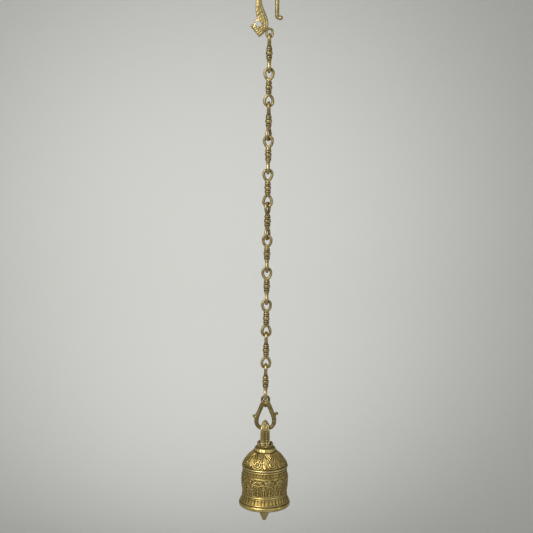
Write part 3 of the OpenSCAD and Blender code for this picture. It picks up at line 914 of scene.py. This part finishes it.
def brass(name, tones, gloss, offset=0.0, grime=1.0):
    """Cast brass: brown in its hollows, yellow on rubbed edges, mottled between.

    tones run from the hollows to the rubbed edges, and gloss is the roughness there.
    offset moves the whole piece along the tones, and grime darkens its hollows."""
    material = bpy.data.materials.new(name)
    material.use_nodes = True
    tree = material.node_tree
    shader = tree.nodes["Principled BSDF"]
    where = node(tree, "ShaderNodeTexCoord").outputs["Object"]
    hollow = node(tree, "ShaderNodeAttribute", attribute_name="hollow").outputs["Fac"]
    edge = node(tree, "ShaderNodeAttribute", attribute_name="edge").outputs["Fac"]
    patches, mottle = noise(tree, where, 55, 3), noise(tree, where, 420, 5, 0.65)
    pits = noise(tree, where, 1500, 3, 0.7)
    grime_here = math_node(tree, "MULTIPLY", hollow, math_node(tree, "ADD", patches, 0.45))
    tone = math_node(tree, "MULTIPLY_ADD", edge, 0.42, 0.5 + offset)
    tone = math_node(tree, "SUBTRACT", tone, math_node(tree, "MULTIPLY", grime_here, 0.62 * grime))
    for source, amount in ((patches, 0.5), (mottle, 0.42)):
        shift = math_node(tree, "MULTIPLY", math_node(tree, "SUBTRACT", source, 0.5), amount)
        tone = math_node(tree, "ADD", tone, shift, clamp=True)
    steps = (0.0, 0.3, 0.55, 0.8, 1.0)
    tree.links.new(ramp(tree, tone, list(zip(steps, tones))), shader.inputs["Base Color"])
    spread = math_node(tree, "MULTIPLY", math_node(tree, "SUBTRACT", mottle, 0.5), 0.35)
    rough = math_node(tree, "SUBTRACT", gloss + 0.3, math_node(tree, "MULTIPLY", tone, 0.3))
    tree.links.new(math_node(tree, "ADD", rough, spread, clamp=True), shader.inputs["Roughness"])
    metal = math_node(tree, "SUBTRACT", 1.0, math_node(tree, "MULTIPLY", grime_here, 0.35))
    tree.links.new(metal, shader.inputs["Metallic"])
    grain = math_node(tree, "ADD", mottle, math_node(tree, "MULTIPLY", pits, 0.5))
    dimples = node(tree, "ShaderNodeBump")
    dimples.inputs["Strength"].default_value = 0.5
    dimples.inputs["Distance"].default_value = 0.25 * MM
    tree.links.new(grain, dimples.inputs["Height"])
    tree.links.new(dimples.outputs["Normal"], shader.inputs["Normal"])
    return material


# Tones of each kind of brass, from its hollows to its rubbed edges
ANTIQUE_TONES = (
    (0.06, 0.036, 0.006), (0.21, 0.142, 0.035), (0.47, 0.35, 0.112), (0.7, 0.565, 0.255),
    (0.93, 0.83, 0.56),
)
CHAIN_TONES = (
    (0.06, 0.04, 0.012), (0.2, 0.148, 0.055), (0.45, 0.36, 0.165), (0.68, 0.58, 0.34),
    (0.93, 0.85, 0.65),
)
DULL_TONES = (
    (0.03, 0.02, 0.008), (0.1, 0.07, 0.028), (0.21, 0.155, 0.065), (0.33, 0.25, 0.12),
    (0.5, 0.4, 0.22),
)
CLAPPER_TONES = (
    (0.06, 0.04, 0.012), (0.21, 0.155, 0.055), (0.45, 0.355, 0.16), (0.66, 0.55, 0.3),
    (0.85, 0.75, 0.48),
)


def paper(name, colour):
    """Plain pale sheet with a faint tooth."""
    material = bpy.data.materials.new(name)
    material.use_nodes = True
    tree = material.node_tree
    shader = tree.nodes["Principled BSDF"]
    where = node(tree, "ShaderNodeTexCoord").outputs["Object"]
    shade = noise(tree, where, 0.7, 2)
    low = tuple(0.985 * c for c in colour)
    tree.links.new(ramp(tree, shade, ((0.3, low), (0.7, colour))), shader.inputs["Base Color"])
    shader.inputs["Roughness"].default_value = 0.9
    shader.inputs["Specular IOR Level"].default_value = 0.15
    return material


# ---- stage ----

# Metres: the sheet behind the bell runs from far in front, sweeps up and ends over it
FLOOR_Z, WALL_Y, SWEEP_R = -2.08, 3.3, 0.9
SHEET_FRONT_Y, SHEET_TOP_Z, SHEET_HALF, SWEEP_STEPS = -40, 3.5, 9, 24
FLOOR_HALF, FLOOR_DROP = 45, 0.002
# Angle of the light that makes the wall brighter behind the bell than round it
POOL_SPREAD = 85


def make_stage():
    """A wide floor with a sheet that sweeps up into a wall behind the bell."""
    sheet = paper("pale_sheet", (0.62, 0.625, 0.6))
    profile = [(SHEET_FRONT_Y, FLOOR_Z)]
    for i in range(SWEEP_STEPS + 1):
        a = math.radians(90 * i / SWEEP_STEPS)
        profile.append(
            (WALL_Y - SWEEP_R + SWEEP_R * math.sin(a), FLOOR_Z + SWEEP_R - SWEEP_R * math.cos(a))
        )
    profile.append((WALL_Y, SHEET_TOP_Z))
    points = [(x, y, z) for x in (-SHEET_HALF, SHEET_HALF) for y, z in profile]
    count = len(profile)
    faces = [(i, i + 1, count + i + 1, count + i) for i in range(count - 1)]
    mesh = bpy.data.meshes.new("sheet")
    mesh.from_pydata(points, [], faces)
    mesh.polygons.foreach_set("use_smooth", [True] * len(faces))
    mesh.materials.append(sheet)
    back = bpy.data.objects.new("sheet", mesh)
    bpy.context.scene.collection.objects.link(back)
    low, high = -FLOOR_HALF, FLOOR_HALF
    corners = [(low, low), (high, low), (high, high), (low, high)]
    ground = bpy.data.meshes.new("floor")
    ground.from_pydata([(x, y, FLOOR_Z - FLOOR_DROP) for x, y in corners], [], [(0, 1, 2, 3)])
    ground.materials.append(sheet)
    floor = bpy.data.objects.new("floor", ground)
    bpy.context.scene.collection.objects.link(floor)


def light_at(name, kind, place_at, aim, size, power, colour=(1, 1, 1)):
    """Round lamp of that size and power in watts, which shines at a point."""
    light = bpy.data.lights.new(name, kind)
    light.energy, light.color = power, colour
    if kind == "AREA":
        light.shape, light.size = "DISK", size
    else:
        light.shadow_soft_size = size
    lamp = bpy.data.objects.new(name, light)
    lamp.location = place_at
    way = Vector(aim) - Vector(place_at)
    lamp.rotation_euler = way.to_track_quat("-Z", "Y").to_euler()
    lamp.visible_camera = False
    bpy.context.scene.collection.objects.link(lamp)
    return lamp


def make_lights():
    """Dim room, a warm key from the upper left, a weak fill and a pool on the wall."""
    world = bpy.data.worlds.new("soft_room")
    world.use_nodes = True
    tree = world.node_tree
    way = node(tree, "ShaderNodeTexCoord").outputs["Generated"]
    parts = node(tree, "ShaderNodeSeparateXYZ")
    tree.links.new(way, parts.inputs[0])
    up = math_node(tree, "MULTIPLY_ADD", parts.outputs[2], 0.5, 0.5)
    tone = ramp(
        tree, up,
        ((0.0, (0.3, 0.3, 0.29)), (0.5, (0.55, 0.555, 0.54)), (0.75, (0.32, 0.325, 0.33)),
         (1.0, (0.5, 0.51, 0.52))),
    )
    tree.links.new(tone, tree.nodes["Background"].inputs["Color"])
    tree.nodes["Background"].inputs["Strength"].default_value = 0.8
    bpy.context.scene.world = world
    light_at("key", "AREA", (-1.3, -2.1, 0.9), (0, 0, -0.7), 0.6, 72, (1, 0.97, 0.92))
    light_at("fill", "AREA", (2.2, -1.6, -0.2), (0, 0, -0.6), 1.4, 10, (0.95, 0.97, 1))
    pool = light_at("pool", "SPOT", (-0.25, 0.9, -0.88), (-0.25, WALL_Y, -1.0), 0.3, 112)
    pool.data.spot_size, pool.data.spot_blend = math.radians(POOL_SPREAD), 1


# The photo's view: place in metres, angles in degrees, lens and sensor in millimetres
CAMERA_AT = (-0.0009, -2.476, -0.064)
CAMERA_PITCH, CAMERA_ROLL = -10.25, 0.63
CAMERA_LENS, SENSOR, CAMERA_FAR = 89.63, 36, 200


def make_camera():
    """Camera a little above the hook's height, looking slightly down."""
    data = bpy.data.cameras.new("camera")
    data.lens, data.sensor_width = CAMERA_LENS, SENSOR
    data.clip_end = CAMERA_FAR
    camera = bpy.data.objects.new("camera", data)
    tilt = Matrix.Rotation(math.radians(90 + CAMERA_PITCH), 4, "X")
    roll = Matrix.Rotation(math.radians(CAMERA_ROLL), 4, "Z")
    camera.matrix_world = Matrix.Translation(CAMERA_AT) @ tilt @ roll
    bpy.context.scene.collection.objects.link(camera)
    bpy.context.scene.camera = camera
    bpy.context.scene.view_settings.view_transform = "Standard"


def main():
    """Makes every piece, the stage, the lights and the camera."""
    antique = brass("antique_brass", ANTIQUE_TONES, 0.3)
    loop_brass = brass("loop_brass", CHAIN_TONES, 0.32, -0.04)
    hook_brass = brass("hook_brass", CHAIN_TONES, 0.3, 0.0)
    chain_brass = brass("chain_brass", CHAIN_TONES, 0.32, 0.0, 1.6)
    stirrup_brass = brass("stirrup_brass", CHAIN_TONES, 0.36, -0.14)
    dull = brass("dull_brass", DULL_TONES, 0.42)
    struck = brass("clapper_brass", CLAPPER_TONES, 0.34)
    make_hook(hook_brass)
    for index in range(len(UPPER_EYES)):
        make_link(index, chain_brass)
    make_stirrup(stirrup_brass)
    make_crown_loop(loop_brass)
    make_bell(antique)
    make_washer(dull)
    make_nut(dull)
    make_hanger(dull)
    make_clapper(struck)
    make_stage()
    make_lights()
    make_camera()
    bpy.context.view_layer.update()


main()
